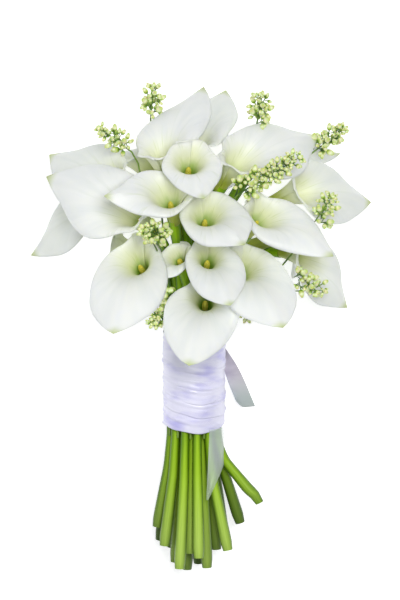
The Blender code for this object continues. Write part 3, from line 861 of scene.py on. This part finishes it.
@dataclass
class Spathe:
    """The rolled white sheet of one bloom, in millimetres from the bloom's base."""

    form: BloomForm
    base: Vector
    along: Vector
    size: float
    phase: float
    neck_radius: float = 4.0
    sink: float = 5.0
    inner_length: float = 41.0
    outer_length: float = 92.0
    tip_length: float = 13.0
    tip_width: float = math.radians(22.0)
    side_power: float = 2.6
    neck_angle: float = math.radians(8.0)
    funnel_angle: float = math.radians(29.0)
    funnel_length: float = 30.0
    overlap: float = math.radians(22.0)
    roll_step: float = 0.8
    curl: tuple[float, float] = (math.radians(75.0), math.radians(114.0))
    rim_roll: float = math.radians(95.0)
    rim_from: float = 0.76
    wave: float = 1.7
    thickness: float = 0.9
    columns: int = 64
    rows: int = 34
    profile_steps: int = 120
    _profiles: dict[float, tuple[Points, Points, Points, float]] = field(default_factory=dict)

    def length(self, turn: float) -> float:
        """Length of the sheet from the neck to its edge.

        Args:
            turn: the angle round the bloom from the tip.

        Returns:
            The length.
        """
        share = ((1.0 + math.cos(turn)) / 2.0) ** self.side_power
        length = self.inner_length + (self.outer_length - self.inner_length) * self.form.reach * share
        near_tip = max(0.0, 1.0 - abs(turn) / self.tip_width)
        return length + self.tip_length * near_tip ** 1.6

    def profile(self, turn: float) -> tuple[Points, Points, Points, float]:
        """One side of the sheet, from its foot in the stem to its edge.

        Args:
            turn: the angle round the bloom from the tip.

        Returns:
            Distances out from the neck, heights, squeezes sideways, and the side's length.
        """
        if turn not in self._profiles:
            share = (1.0 + math.cos(turn)) / 2.0
            curl = self.curl[0] + (self.curl[1] - self.curl[0]) * share
            end = self.length(turn)
            lengths = np.linspace(-self.sink, end, self.profile_steps)
            funnel = np.clip(lengths / self.funnel_length, 0.0, 1.0)
            flare = np.clip((lengths - self.funnel_length) / (end - self.funnel_length), 0.0, 1.0)
            # The side opens from the narrow neck to the funnel, then flares, and its rim rolls over.
            slope = self.neck_angle + (self.funnel_angle - self.neck_angle) * funnel ** 1.3
            slope += (curl - self.funnel_angle) * flare ** 1.25
            near_tip = max(0.0, 1.0 - abs(turn) / math.radians(50.0))
            rim = np.clip((flare - self.rim_from) / (1.0 - self.rim_from), 0.0, 1.0)
            slope += self.rim_roll * (1.0 - 1.6 * near_tip) * rim ** 2.0
            slope[lengths < 0.0] = 0.0
            step = lengths[1] - lengths[0]
            outward = np.concatenate([[0.0], np.cumsum(np.sin(slope[:-1]) * step)])
            height = -self.sink + np.concatenate([[0.0], np.cumsum(np.cos(slope[:-1]) * step)])
            squeeze = 1.0 + (self.form.width - 1.0) * funnel
            self._profiles[turn] = (outward, height, squeeze, end)
        return self._profiles[turn]

    def place(self, across: float, share: float) -> Vector:
        """Lays a point of the sheet.

        Args:
            across: share round the bloom.
            share: share from the sheet's foot to its edge.

        Returns:
            The point, in metres.
        """
        turn = (2.0 * across - 1.0) * (math.pi + self.overlap)
        outward, height, squeeze, end = self.profile(round(turn, 6))
        step = share * (self.profile_steps - 1)
        out, up, narrow = (
            float(np.interp(step, range(self.profile_steps), values))
            for values in (outward, height, squeeze)
        )
        # Two waves run round the edge and die out towards the throat.
        ripple = math.sin(5.0 * turn + self.phase) * 0.6 + math.sin(3.0 * turn + 2.3 * self.phase) * 0.4
        out += self.wave * self.form.ruffle * ripple * share ** 4
        radius = self.neck_radius + out * self.size + self.roll_step * turn / math.pi
        ray = self.out * math.cos(turn) + self.across * math.sin(turn) * narrow
        point = self.base + (self.along * up * self.size + ray * radius) * MM
        point.z = max(point.z, self.thickness / 2.0 * MM)
        return point

    @property
    def out(self) -> Vector:
        """Unit vector across the bloom, towards its tip."""
        hint = direction(*self.form.tip)
        return (hint - self.along * hint.dot(self.along)).normalized()

    @property
    def across(self) -> Vector:
        """Unit vector across the bloom, to the side of its tip."""
        return self.along.cross(self.out)

    def build(self, finishes: dict[Side, bpy.types.Material]) -> bpy.types.Object:
        """Lays the sheet, carries its distance from neck and tip, and gives it its thickness.

        Args:
            finishes: the material of each side.

        Returns:
            The spathe.
        """
        sheet = grid("spathe", self.columns, self.rows, self.place)
        uv = np.zeros(len(sheet.data.loops) * 2, np.float32)
        sheet.data.uv_layers[0].data.foreach_get("uv", uv)
        corner = np.zeros(len(sheet.data.loops), np.int32)
        sheet.data.loops.foreach_get("vertex_index", corner)
        flat = np.zeros((len(sheet.data.vertices), 2))
        flat[corner] = uv.reshape(-1, 2)
        turns = (2.0 * flat[:, 0] - 1.0) * (math.pi + self.overlap)
        ends = np.array([self.length(turn) for turn in turns])
        lengths = -self.sink + flat[:, 1] * (ends + self.sink)
        gap = np.hypot(ends.max() - lengths, 34.0 * turns)
        carry(sheet, "from_neck", lengths / 100.0)
        carry(sheet, "to_tip", np.clip(1.0 - gap / 16.0, 0.0, 1.0))
        edge = sheet.vertex_groups.new(name="full thickness")
        for index, share in enumerate(flat[:, 1]):
            edge.add([index], float(np.clip((1.0 - share) / 0.15, 0.0, 1.0)), "REPLACE")
        dress(sheet, finishes[Side.INSIDE], finishes[Side.OUTSIDE])
        apply_modifier(
            sheet, "SOLIDIFY", thickness=self.thickness * MM, offset=0.0, vertex_group=edge.name,
            thickness_vertex_group=0.45, material_offset=1, material_offset_rim=0,
        )
        sheet.vertex_groups.clear()
        return sheet


@dataclass
class Calla:
    """One calla lily: its stem, its rolled spathe and its spadix."""

    number: int
    form: BloomForm
    frame: dict[str, Any]
    step: float = 6.0 * MM
    stem_swell: float = 1.06
    cut_taper: float = 0.8
    neck: float = 7.5 * MM
    neck_radius: float = 4.9 * MM
    spadix_gap: float = 0.3 * MM
    spadix_length: float = 21.0
    spadix_profile: tuple = (
        (-0.5, 1.5), (2.0, 2.0), (6.0, 2.4), (12.0, 2.5), (17.0, 2.3), (20.0, 1.6), (21.3, 0.5),
    )

    def __post_init__(self) -> None:
        """Reads where the bloom is from its spadix's two ends."""
        shape = NodeShape(self.frame["nodes"][f"spadix_{self.number:02d}"])
        middle = shape.points.mean(axis=0)
        _, _, axes = np.linalg.svd(shape.points - middle)
        heights = (shape.points - middle) @ axes[0]
        order = np.argsort(heights)
        rings = [shape.points[order[5 * k:5 * k + 5]].mean(axis=0) for k in range(4)]
        if np.linalg.norm(rings[1] - rings[0]) < np.linalg.norm(rings[3] - rings[2]):
            rings.reverse()
        foot, top = Vector(rings[0]), Vector(rings[3])
        self.along = (top - foot).normalized()
        self.size = (top - foot).length / (self.spadix_length * MM)
        self.base = foot - self.along * self.spadix_gap

    def stem(self, green: bpy.types.Material, cut: bpy.types.Material) -> bpy.types.Object:
        """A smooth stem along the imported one, cut square at its end.

        Args:
            green: the stem's material.
            cut: the material of its cut face.

        Returns:
            The stem.
        """
        shape = NodeShape(self.frame["nodes"][f"calla_{self.number:02d}"])
        line = shape.centre_line(6, 9.0 * MM, self.base, self.step)
        points = [point for point, _ in line]
        radii = [radius * self.stem_swell for _, radius in line]
        radii[0] *= self.cut_taper
        points += [self.base - self.along * self.neck, self.base]
        radii += [self.neck_radius * 0.9, self.neck_radius]
        made = tube("stem", np.array(points), radii)
        carry_grain(made, np.array(points))
        dress(made, green, cut)
        self.open_cut(made, points[0])
        return made

    def open_cut(self, made: bpy.types.Object, end: Vector) -> None:
        """Insets the cut face and sinks its middle a little, in the cut's own material.

        Args:
            made: the stem.
            end: the middle of its cut end.
        """
        take(made)
        bpy.ops.object.mode_set(mode="EDIT")
        bpy.ops.mesh.select_all(action="DESELECT")
        bpy.ops.object.mode_set(mode="OBJECT")
        for face in made.data.polygons:
            face.select = len(face.vertices) > 4 and (face.center - end).length < 4.0 * MM
        bpy.ops.object.mode_set(mode="EDIT")
        bpy.ops.mesh.inset(thickness=0.5 * MM, depth=0.0)
        bpy.ops.mesh.inset(thickness=0.3 * MM, depth=-0.35 * MM)
        made.active_material_index = 1
        bpy.ops.object.material_slot_assign()
        bpy.ops.object.mode_set(mode="OBJECT")

    def build(self, finishes: dict[Any, bpy.types.Material]) -> None:
        """Builds the lily and its spadix.

        Args:
            finishes: the materials by side and by name.
        """
        spathe = Spathe(self.form, self.base, self.along, self.size, 1.7 * self.number)
        flower = spathe.build(finishes)
        stem = self.stem(finishes["stem"], finishes["cut"])
        lily = join(f"lily_{self.number:02d}", [stem, flower])
        settle_piece(lily, Slot.CALLA, f"calla_{self.number:02d}")
        self.spadix(finishes["spadix"])

    def spadix(self, yellow: bpy.types.Material) -> None:
        """Builds the granular spadix in the throat.

        Args:
            yellow: its material.
        """
        foot = self.base + self.along * self.spadix_gap
        points = [foot + self.along * height * self.size * MM for height, _ in self.spadix_profile]
        radii = [radius * MM for _, radius in self.spadix_profile]
        post = tube("spadix", np.array(points), radii, steps=4)
        post.name = f"lily_spadix_{self.number:02d}"
        lengths = [(vertex.co - foot).dot(self.along) for vertex in post.data.vertices]
        carry(post, "from_neck", np.array(lengths) / (self.spadix_length * MM))
        dress(post, yellow)
        settle_piece(post, Slot.SPADIX, f"spadix_{self.number:02d}")


# Bud sprays


@dataclass(frozen=True)
class SprayForm:
    """Which way a spray leans in degrees, its length in millimetres and how many main buds it has."""

    lean: tuple[float, float]
    length: float
    buds: int


@dataclass
class BudSpray:
    """A thin stem with twigs and clusters of small buds."""

    number: int
    form: SprayForm
    frame: dict[str, Any]
    twig: float = 8.0
    bud_radius: float = 3.1
    turn: float = math.radians(137.5)
    bud_share: float = 1.05
    side_buds: int = 6
    step: float = 5.0 * MM

    def buds(self) -> list[tuple[Vector, Vector, Vector, float]]:
        """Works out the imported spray's buds about its foot.

        Returns:
            For each bud its twig's root, its twig's end, its way and its radius, in millimetres.
        """
        along = direction(*self.form.lean)
        side = along.orthogonal().normalized()
        made = []
        for k in range(self.form.buds):
            share = k / (self.form.buds - 1)
            size = self.bud_radius * (1.0 - 0.3 * share)
            if k == self.form.buds - 1:
                way, reach, root = along, 0.0, along * self.form.length
            else:
                way = (along * 0.75 + Matrix.Rotation(self.turn * k, 3, along) @ side).normalized()
                reach = self.twig * (1.1 - 0.4 * share)
                root = along * self.form.length * (0.15 + 0.8 * share)
            made.append((root, root + way * reach, way, size))
        return made

    def foot(self, shape: NodeShape) -> Vector:
        """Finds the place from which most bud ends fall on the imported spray's points.

        Args:
            shape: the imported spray.

        Returns:
            The spray's foot.
        """
        ends = np.array([tip + way * 2.1 * size for _, tip, way, size in self.buds()]) * MM
        best, found = -1, Vector()
        for point in shape.points:
            foot = point - ends[-1]
            gaps = np.linalg.norm((foot + ends)[:, None] - shape.points[None], axis=2).min(axis=1)
            hits = int((gaps < 0.05 * MM).sum())
            if hits > best:
                best, found = hits, Vector(foot)
        return found

    def one_bud(self) -> bpy.types.Object:
        """Shapes a round bud with five petals, its seams sunk between them.

        Returns:
            The bud, one unit tall, its foot at the origin.
        """
        deselect()
        bpy.ops.mesh.primitive_uv_sphere_add(segments=10, ring_count=7, radius=0.5, location=(0, 0, 0.5))
        bud = bpy.context.object
        for vertex in bud.data.vertices:
            place = vertex.co
            rise = place.z + 0.5
            turn = math.atan2(place.y, place.x)
            width = (0.86 + 0.14 * math.cos(5.0 * turn)) * (1.08 - 0.35 * rise)
            vertex.co = Vector((place.x * width, place.y * width, rise))
        return bud

    def build(self, bud_green: bpy.types.Material, twig_green: bpy.types.Material) -> None:
        """Builds the spray's stem, its twigs and its buds as one piece.

        Args:
            bud_green: the buds' material.
            twig_green: the material of stem and twigs.
        """
        node = f"bud_spray_{self.number:02d}"
        shape = NodeShape(self.frame["nodes"][node])
        foot = self.foot(shape)
        line = shape.centre_line(4, 2.3 * MM, foot, self.step)
        along = direction(*self.form.lean)
        points = [point for point, _ in line] + [foot, foot + along * self.form.length * MM]
        radii = [radius for _, radius in line] + [0.75 * MM, 0.35 * MM]
        pieces = [tube("spray stem", np.array(points), radii, turns=2)]
        bud = self.one_bud()
        rng = np.random.default_rng(40 + self.number)
        for root, tip, way, size in self.buds():
            side = way.orthogonal().normalized()
            bow = side * float(rng.uniform(-1.0, 1.0))
            if (tip - root).length > 0.0:
                twig = [foot + p * MM for p in (root, (root + tip) / 2.0 + bow, tip + way * 0.5)]
                pieces.append(tube("twig", np.array(twig), [0.42 * MM, 0.36 * MM, 0.5 * MM], turns=1))
            pieces.append(self.place_bud(bud, foot + tip * MM, way, size * self.bud_share))
            for k in range(self.side_buds):
                spread = Matrix.Rotation(float(rng.uniform(0.0, math.tau)), 3, way) @ side
                lean = (way * float(rng.uniform(0.2, 0.7)) + spread).normalized()
                start = root.lerp(tip, float(rng.uniform(0.25, 0.8)))
                end = start + lean * float(rng.uniform(2.2, 3.6))
                stalk = [foot + p * MM for p in (start, (start + end) / 2.0 + way * 0.4, end + lean * 0.4)]
                pieces.append(tube("stalk", np.array(stalk), [0.3 * MM, 0.28 * MM, 0.4 * MM], turns=1))
                scale = size * self.bud_share * float(rng.uniform(0.55, 0.8))
                pieces.append(self.place_bud(bud, foot + end * MM, lean, scale))
        bpy.data.objects.remove(bud)
        for piece in pieces:
            dress(piece, twig_green, bud_green)
            if "from_neck" in piece.data.attributes:
                piece.data.polygons.foreach_set("material_index", [1] * len(piece.data.polygons))
        settle_piece(join(f"spray_{self.number:02d}", pieces), Slot.BUDS, node)

    def place_bud(
        self, bud: bpy.types.Object, foot: Vector, way: Vector, radius: float,
    ) -> bpy.types.Object:
        """A copy of the bud with its own mesh.

        Args:
            bud: the bud to copy.
            foot: where it grows from.
            way: the way it points.
            radius: its radius in millimetres.

        Returns:
            The copy, with its height carried at each point.
        """
        copy = bpy.data.objects.new("bud", bud.data.copy())
        bpy.context.scene.collection.objects.link(copy)
        carry(copy, "from_neck", [vertex.co.z for vertex in copy.data.vertices])
        turn = way.to_track_quat("Z", "Y").to_matrix().to_4x4()
        stretch = Matrix.Diagonal((2.0 * radius, 2.0 * radius, 2.3 * radius, 1.0))
        copy.data.transform(Matrix.Translation(foot) @ turn @ stretch @ Matrix.Scale(MM, 4))
        return copy


# Ribbon and binding


@dataclass
class Bundle:
    """The line of the bound stems, whose middle is read from the binding tape."""

    tilt: float = math.radians(10.0)

    def __post_init__(self) -> None:
        """Finds the bundle's middle and its axes."""
        low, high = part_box("binding_tape")
        self.middle = (low + high) / 2.0
        self.along = Vector((0.0, math.cos(self.tilt), math.sin(self.tilt)))
        self.up = Vector((0.0, -math.sin(self.tilt), math.cos(self.tilt)))
        self.side = Vector((1.0, 0.0, 0.0))

    def point(self, along: float, radius: float, turn: float) -> Vector:
        """A point at a distance along the bundle and a polar place across it, sizes in millimetres."""
        ray = self.side * math.cos(turn) + self.up * math.sin(turn)
        return self.middle + (self.along * along + ray * radius) * MM


@dataclass
class SatinWrap:
    """Satin ribbon wound up the stems, with uneven laps and soft folds that run round them."""

    bundle: Bundle
    length: float = 80.5
    shift: float = 3.75
    ribbon: float = 30.0
    turns: float = 4.4
    radius: float = 24.35
    step: float = 0.4
    thickness: float = 0.4
    columns: int = 560
    rows: int = 26
    start: float = math.radians(205.0)
    hem_rise: float = 4.0
    ridge: float = 1.7
    crease: float = 0.9
    pleat: float = 0.6
    fold_share: float = 0.8
    lap_starts: tuple = (0.0, 0.03, 0.40, 0.52, 0.99, 1.0)

    def fold(self, turn: float, height: float) -> float:
        """How far the satin stands out in its folds.

        Args:
            turn: the angle round the stems.
            height: the height on the wrap, in millimetres.

        Returns:
            The distance, in millimetres.
        """
        drift = height + 2.2 * math.sin(turn + 0.4) + 1.3 * math.sin(2.0 * turn + height * 0.05)
        ridge = max(0.0, math.sin(0.45 * drift)) ** 5
        ridge *= 0.55 + 0.45 * math.sin(1.5 * turn + 0.21 * height)
        crease = max(0.0, math.sin(0.83 * drift + 1.0)) ** 8
        crease *= 0.5 + 0.5 * math.sin(2.5 * turn - 0.3 * height)
        pleat = max(0.0, math.sin(2.0 * turn + 0.06 * height)) ** 12
        fine = 0.10 * math.sin(1.5 * drift + 1.1 * math.sin(turn))
        return self.ridge * ridge + self.crease * crease + self.pleat * pleat + fine

    def place(self, share: float, across: float) -> Vector:
        """Lays a point of the ribbon.

        Args:
            share: share along it.
            across: share across it from its lower edge.

        Returns:
            The point, in metres.
        """
        turn = self.start + math.tau * self.turns * share
        # The first and last turns run almost level, and those between climb unevenly.
        lap = 1.0 / self.turns
        climb = np.interp(share, [0.0, lap, 0.46, 0.66, 1.0 - lap, 1.0], self.lap_starts)
        low = self.shift - self.length / 2.0 + (self.length - self.ribbon) * climb
        height = low + self.ribbon * across
        radius = self.radius + self.step * (1.0 - across) + 0.25 * share
        radius += self.fold(turn, height) * self.fold_share
        # The lower edge waves, and lies lowest at the front.
        hem = 0.7 * math.sin(3.0 * turn + 1.0) + 0.35 * math.sin(7.0 * turn + 1.0)
        hem += self.hem_rise * (1.0 - max(0.0, math.sin(turn)))
        return self.bundle.point(height + hem * (1.0 - across), radius, turn)

    def build(self, satin: bpy.types.Material) -> bpy.types.Object:
        """Args:
            satin: its material.

        Returns:
            The ribbon.
        """
        strip = grid("satin_ribbon", self.columns, self.rows, self.place)
        dress(strip, satin)
        apply_modifier(strip, "SOLIDIFY", thickness=self.thickness * MM, offset=0.0)
        settle_piece(strip, Slot.SATIN, "satin_wrap")
        length = math.tau * (self.radius + 0.5) * self.turns
        length * MM
        return strip


@dataclass
class RightTail:
    """The loose end of the ribbon that hangs off the right of the wrap towards the cut ends."""

    bundle: Bundle
    wrap_radius: float = 25.6
    start_along: float = 28.0
    start_turn: float = math.radians(-28.0)
    end: tuple = (43.0, -19.0, 38.0)
    across_end: tuple = (0.95, 0.3, 0.1)
    turn_rate: float = 1.6
    sag: float = 14.0
    width: float = 13.0
    thickness: float = 0.35
    design_height: float = 61.0

    def place(self, across: float, share: float) -> Vector:
        """Lays a point of the tail.

        Args:
            across: share across it.
            share: share along it from the wrap.

        Returns:
            The point, in metres.
        """
        origin = self.bundle.middle - Vector((0.0, 0.0, self.design_height * MM))
        start = self.bundle.point(self.start_along, self.wrap_radius, self.start_turn)
        end = origin + Vector(self.end) * MM
        tangent = self.bundle.up * math.cos(self.start_turn) - self.bundle.side * math.sin(self.start_turn)
        # The free end is cut aslant, with its inner corner rounded off.
        slant = 5.5 * (across - 0.35) - 90.0 * max(0.0, 0.3 - across) ** 2
        reach = share * (1.0 + 0.012 * slant * share)
        centre = start.lerp(end, reach)
        centre.z += self.sag * share * (1.0 - share) * MM
        way = tangent.lerp(Vector(self.across_end), min(1.0, self.turn_rate * share)).normalized()
        face = way.cross(end - start).normalized()
        cup = 0.9 * (2.0 * across - 1.0) ** 2 * share + 0.6 * math.sin(5.0 * share + 1.0) * share
        return centre + (way * self.width * (across - 0.5) + face * cup) * MM

    def build(self, satin: bpy.types.Material) -> bpy.types.Object:
        """Args:
            satin: its material.

        Returns:
            The tail.
        """
        tail = grid("ribbon_end_right", 16, 60, self.place)
        dress(tail, satin)
        apply_modifier(tail, "SOLIDIFY", thickness=self.thickness * MM, offset=0.0)
        settle_piece(tail, Slot.SATIN, "ribbon_tail_right")
        return tail


@dataclass
class FrontTail:
    """The sheer end of the ribbon, laid over the stems from the wrap's lower edge and cut to a point."""

    bundle: Bundle
    along: tuple = (-33.0, -90.0)
    left: tuple = (12.5, 10.0)
    right: float = 24.0
    taper: float = 0.55
    radii: tuple = (26.9, 30.0)
    thickness: float = 0.3

    def place(self, across: float, share: float) -> Vector:
        """Lays a point of the tail.

        Args:
            across: share across it from its left edge.
            share: share down it.

        Returns:
            The point, in metres.
        """
        left = self.left[0] + (self.left[1] - self.left[0]) * share
        # Below the taper's start the right edge runs across to the left one.
        narrowing = max(0.0, (share - self.taper) / (1.0 - self.taper))
        right = self.right + (left + 1.5 - self.right) * narrowing
        along = self.along[0] + (self.along[1] - self.along[0]) * share
        lift = self.radii[0] + (self.radii[1] - self.radii[0]) * share ** 2
        lift += 0.45 * math.sin(9.0 * across + 3.0 * share) * min(1.0, 3.0 * share)
        sideways = left + (right - left) * across
        return self.bundle.point(along, lift, math.acos(min(0.99, sideways / lift)))

    def build(self, satin: bpy.types.Material) -> bpy.types.Object:
        """Args:
            satin: its material.

        Returns:
            The tail.
        """
        tail = grid("ribbon_end_front", 18, 60, self.place)
        dress(tail, satin)
        apply_modifier(tail, "SOLIDIFY", thickness=self.thickness * MM, offset=0.0)
        settle_piece(tail, Slot.SATIN, "ribbon_tail_front")
        return tail


# Studio


@dataclass
class Studio:
    """White floor, a pale sky, two soft lights and a camera straight above."""

    bundle: Bundle
    aim: tuple = (4.8, 68.0)
    view_height: float = 480.0
    distance: float = 2400.0
    aim_height: float = 95.0
    sensor: float = 36.0
    floor_size: float = 6.0
    floor_gap: float = 0.2
    look_at: tuple = (0.0, 0.03, 0.06)
    sky: tuple = (0.94, 0.97, 1.0, 1.0)
    sky_strength: float = 0.30
    key: tuple = ((0.2, 0.24, 1.65), 0.5, 16.0, (1.0, 0.99, 0.97))
    fill: tuple = ((-1.0, -0.1, 1.2), 1.2, 4.0, (1.0, 1.0, 1.0))

    def floor(self) -> None:
        """A wide floor just under the bouquet."""
        deselect()
        bpy.ops.mesh.primitive_plane_add(size=self.floor_size, location=(0.0, 0.0, -self.floor_gap * MM))
        floor = bpy.context.object
        floor.name = "floor"
        dress(floor, FloorFinish().make())

    def area(self, name: str, place: tuple, size: float, power: float, colour: tuple) -> None:
        """A soft square light that looks at the bouquet.

        Args:
            name: the light's name.
            place: where it is, in metres.
            size: its side, in metres.
            power: in watts.
            colour: its colour.
        """
        deselect()
        bpy.ops.object.light_add(type="AREA", location=place)
        light = bpy.context.object
        light.name = name
        light.data.size = size
        light.data.energy = power
        light.data.color = colour
        way = Vector(self.look_at) - Vector(place)
        light.rotation_euler = way.to_track_quat("-Z", "Y").to_euler()

    def light(self) -> None:
        """Lights the scene from above, a little to the right, with a weaker light on the left."""
        world = bpy.data.worlds.new("studio")
        bpy.context.scene.world = world
        world.use_nodes = True
        background = world.node_tree.nodes["Background"]
        background.inputs["Color"].default_value = self.sky
        background.inputs["Strength"].default_value = self.sky_strength
        self.area("key", *self.key)
        self.area("fill", *self.fill)
        bpy.context.scene.view_settings.view_transform = "Standard"

    def camera(self) -> None:
        """Looks straight down, with the flowers towards the top of the picture."""
        data = bpy.data.cameras.new("camera")
        data.sensor_width = self.sensor
        data.lens = self.sensor * self.distance / self.view_height
        data.clip_end = 20.0
        camera = bpy.data.objects.new("camera", data)
        bpy.context.scene.collection.objects.link(camera)
        aim = self.bundle.middle + Vector((*self.aim, 0.0)) * MM
        camera.location = (aim.x, aim.y, (self.aim_height + self.distance) * MM)
        bpy.context.scene.camera = camera


BLOOMS = (
    BloomForm((-100, 0), reach=1.1, ruffle=1.6),
    BloomForm((-78, 0), reach=0.9),
    BloomForm((-62, 0), reach=0.55, width=1.0),
    BloomForm((-165, 0), reach=0.4, width=0.95),
    BloomForm((-80, 0), reach=0.45, width=1.0),
    BloomForm((-92, 0), reach=1.15, width=0.82),
    BloomForm((-76, 0), reach=1.05),
    BloomForm((-48, 0), reach=0.85, ruffle=2.0),
    BloomForm((152, 0), ruffle=2.6),
    BloomForm((-158, 0), reach=0.92),
    BloomForm((160, -40), reach=0.92),
    BloomForm((82, 0), ruffle=2.4),
    BloomForm((78, 0), ruffle=2.4),
    BloomForm((30, 0), ruffle=2.2),
    BloomForm((30, 0), reach=0.8),
    BloomForm((8, 0), reach=0.86),
    BloomForm((-40, 0), reach=0.7),
    BloomForm((-110, 0), reach=0.5),
    BloomForm((190, -30), reach=0.7),
    BloomForm((0, -60), reach=0.7),
    BloomForm((-160, -60)),
    BloomForm((-20, -60), reach=0.9),
    BloomForm((0, -20), reach=0.7),
)

SPRAYS = (
    SprayForm((160, 70), 34.0, 11),
    SprayForm((28, 25), 66.0, 20),
    SprayForm((-130, 20), 40.0, 14),
    SprayForm((34, 15), 34.0, 10),
    SprayForm((65, 25), 28.0, 7),
    SprayForm((-70, 20), 20.0, 5),
    SprayForm((-25, 15), 30.0, 7),
    SprayForm((80, 28), 28.0, 9),
    SprayForm((150, 25), 34.0, 8),
    SprayForm((82, 20), 26.0, 8),
)


def main() -> None:
    """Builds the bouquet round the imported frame, piece by piece."""
    logging.basicConfig(level=logging.INFO, format="%(name)s: %(message)s")
    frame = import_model()
    bundle = Bundle()
    studio = Studio(bundle)
    studio.camera()
    studio.floor()
    studio.light()

    finishes: dict[Any, bpy.types.Material] = {side: SpatheFinish(side).make() for side in Side}
    finishes["stem"] = StemFinish().make()
    finishes["cut"] = CutFinish().make()
    finishes["spadix"] = SpadixFinish().make()
    for number, form in enumerate(BLOOMS, 1):
        Calla(number, form, frame).build(finishes)

    bud, twig = BudFinish().make(), TwigFinish().make()
    for number, form in enumerate(SPRAYS, 1):
        BudSpray(number, form, frame).build(bud, twig)

    lavender = SatinFinish("lavender satin", (0.81, 0.80, 0.97), (0.50, 0.48, 0.87))
    grey = SatinFinish("grey satin", (0.68, 0.64, 0.69), (0.46, 0.42, 0.49), end=(0.46, 0.55, 0.52))
    sheer = SatinFinish(
        "sheer satin", (0.78, 0.86, 0.84), (0.62, 0.72, 0.66), end=(0.62, 0.78, 0.46), alpha=0.35,
    )
    SatinWrap(bundle).build(lavender.make())
    RightTail(bundle).build(grey.make())
    FrontTail(bundle).build(sheer.make())
    tape = frame["nodes"]["binding_tape"]
    tape.data.materials.clear()
    tape.data.materials.append(TapeFinish().make())


if __name__ == "__main__":
    main()
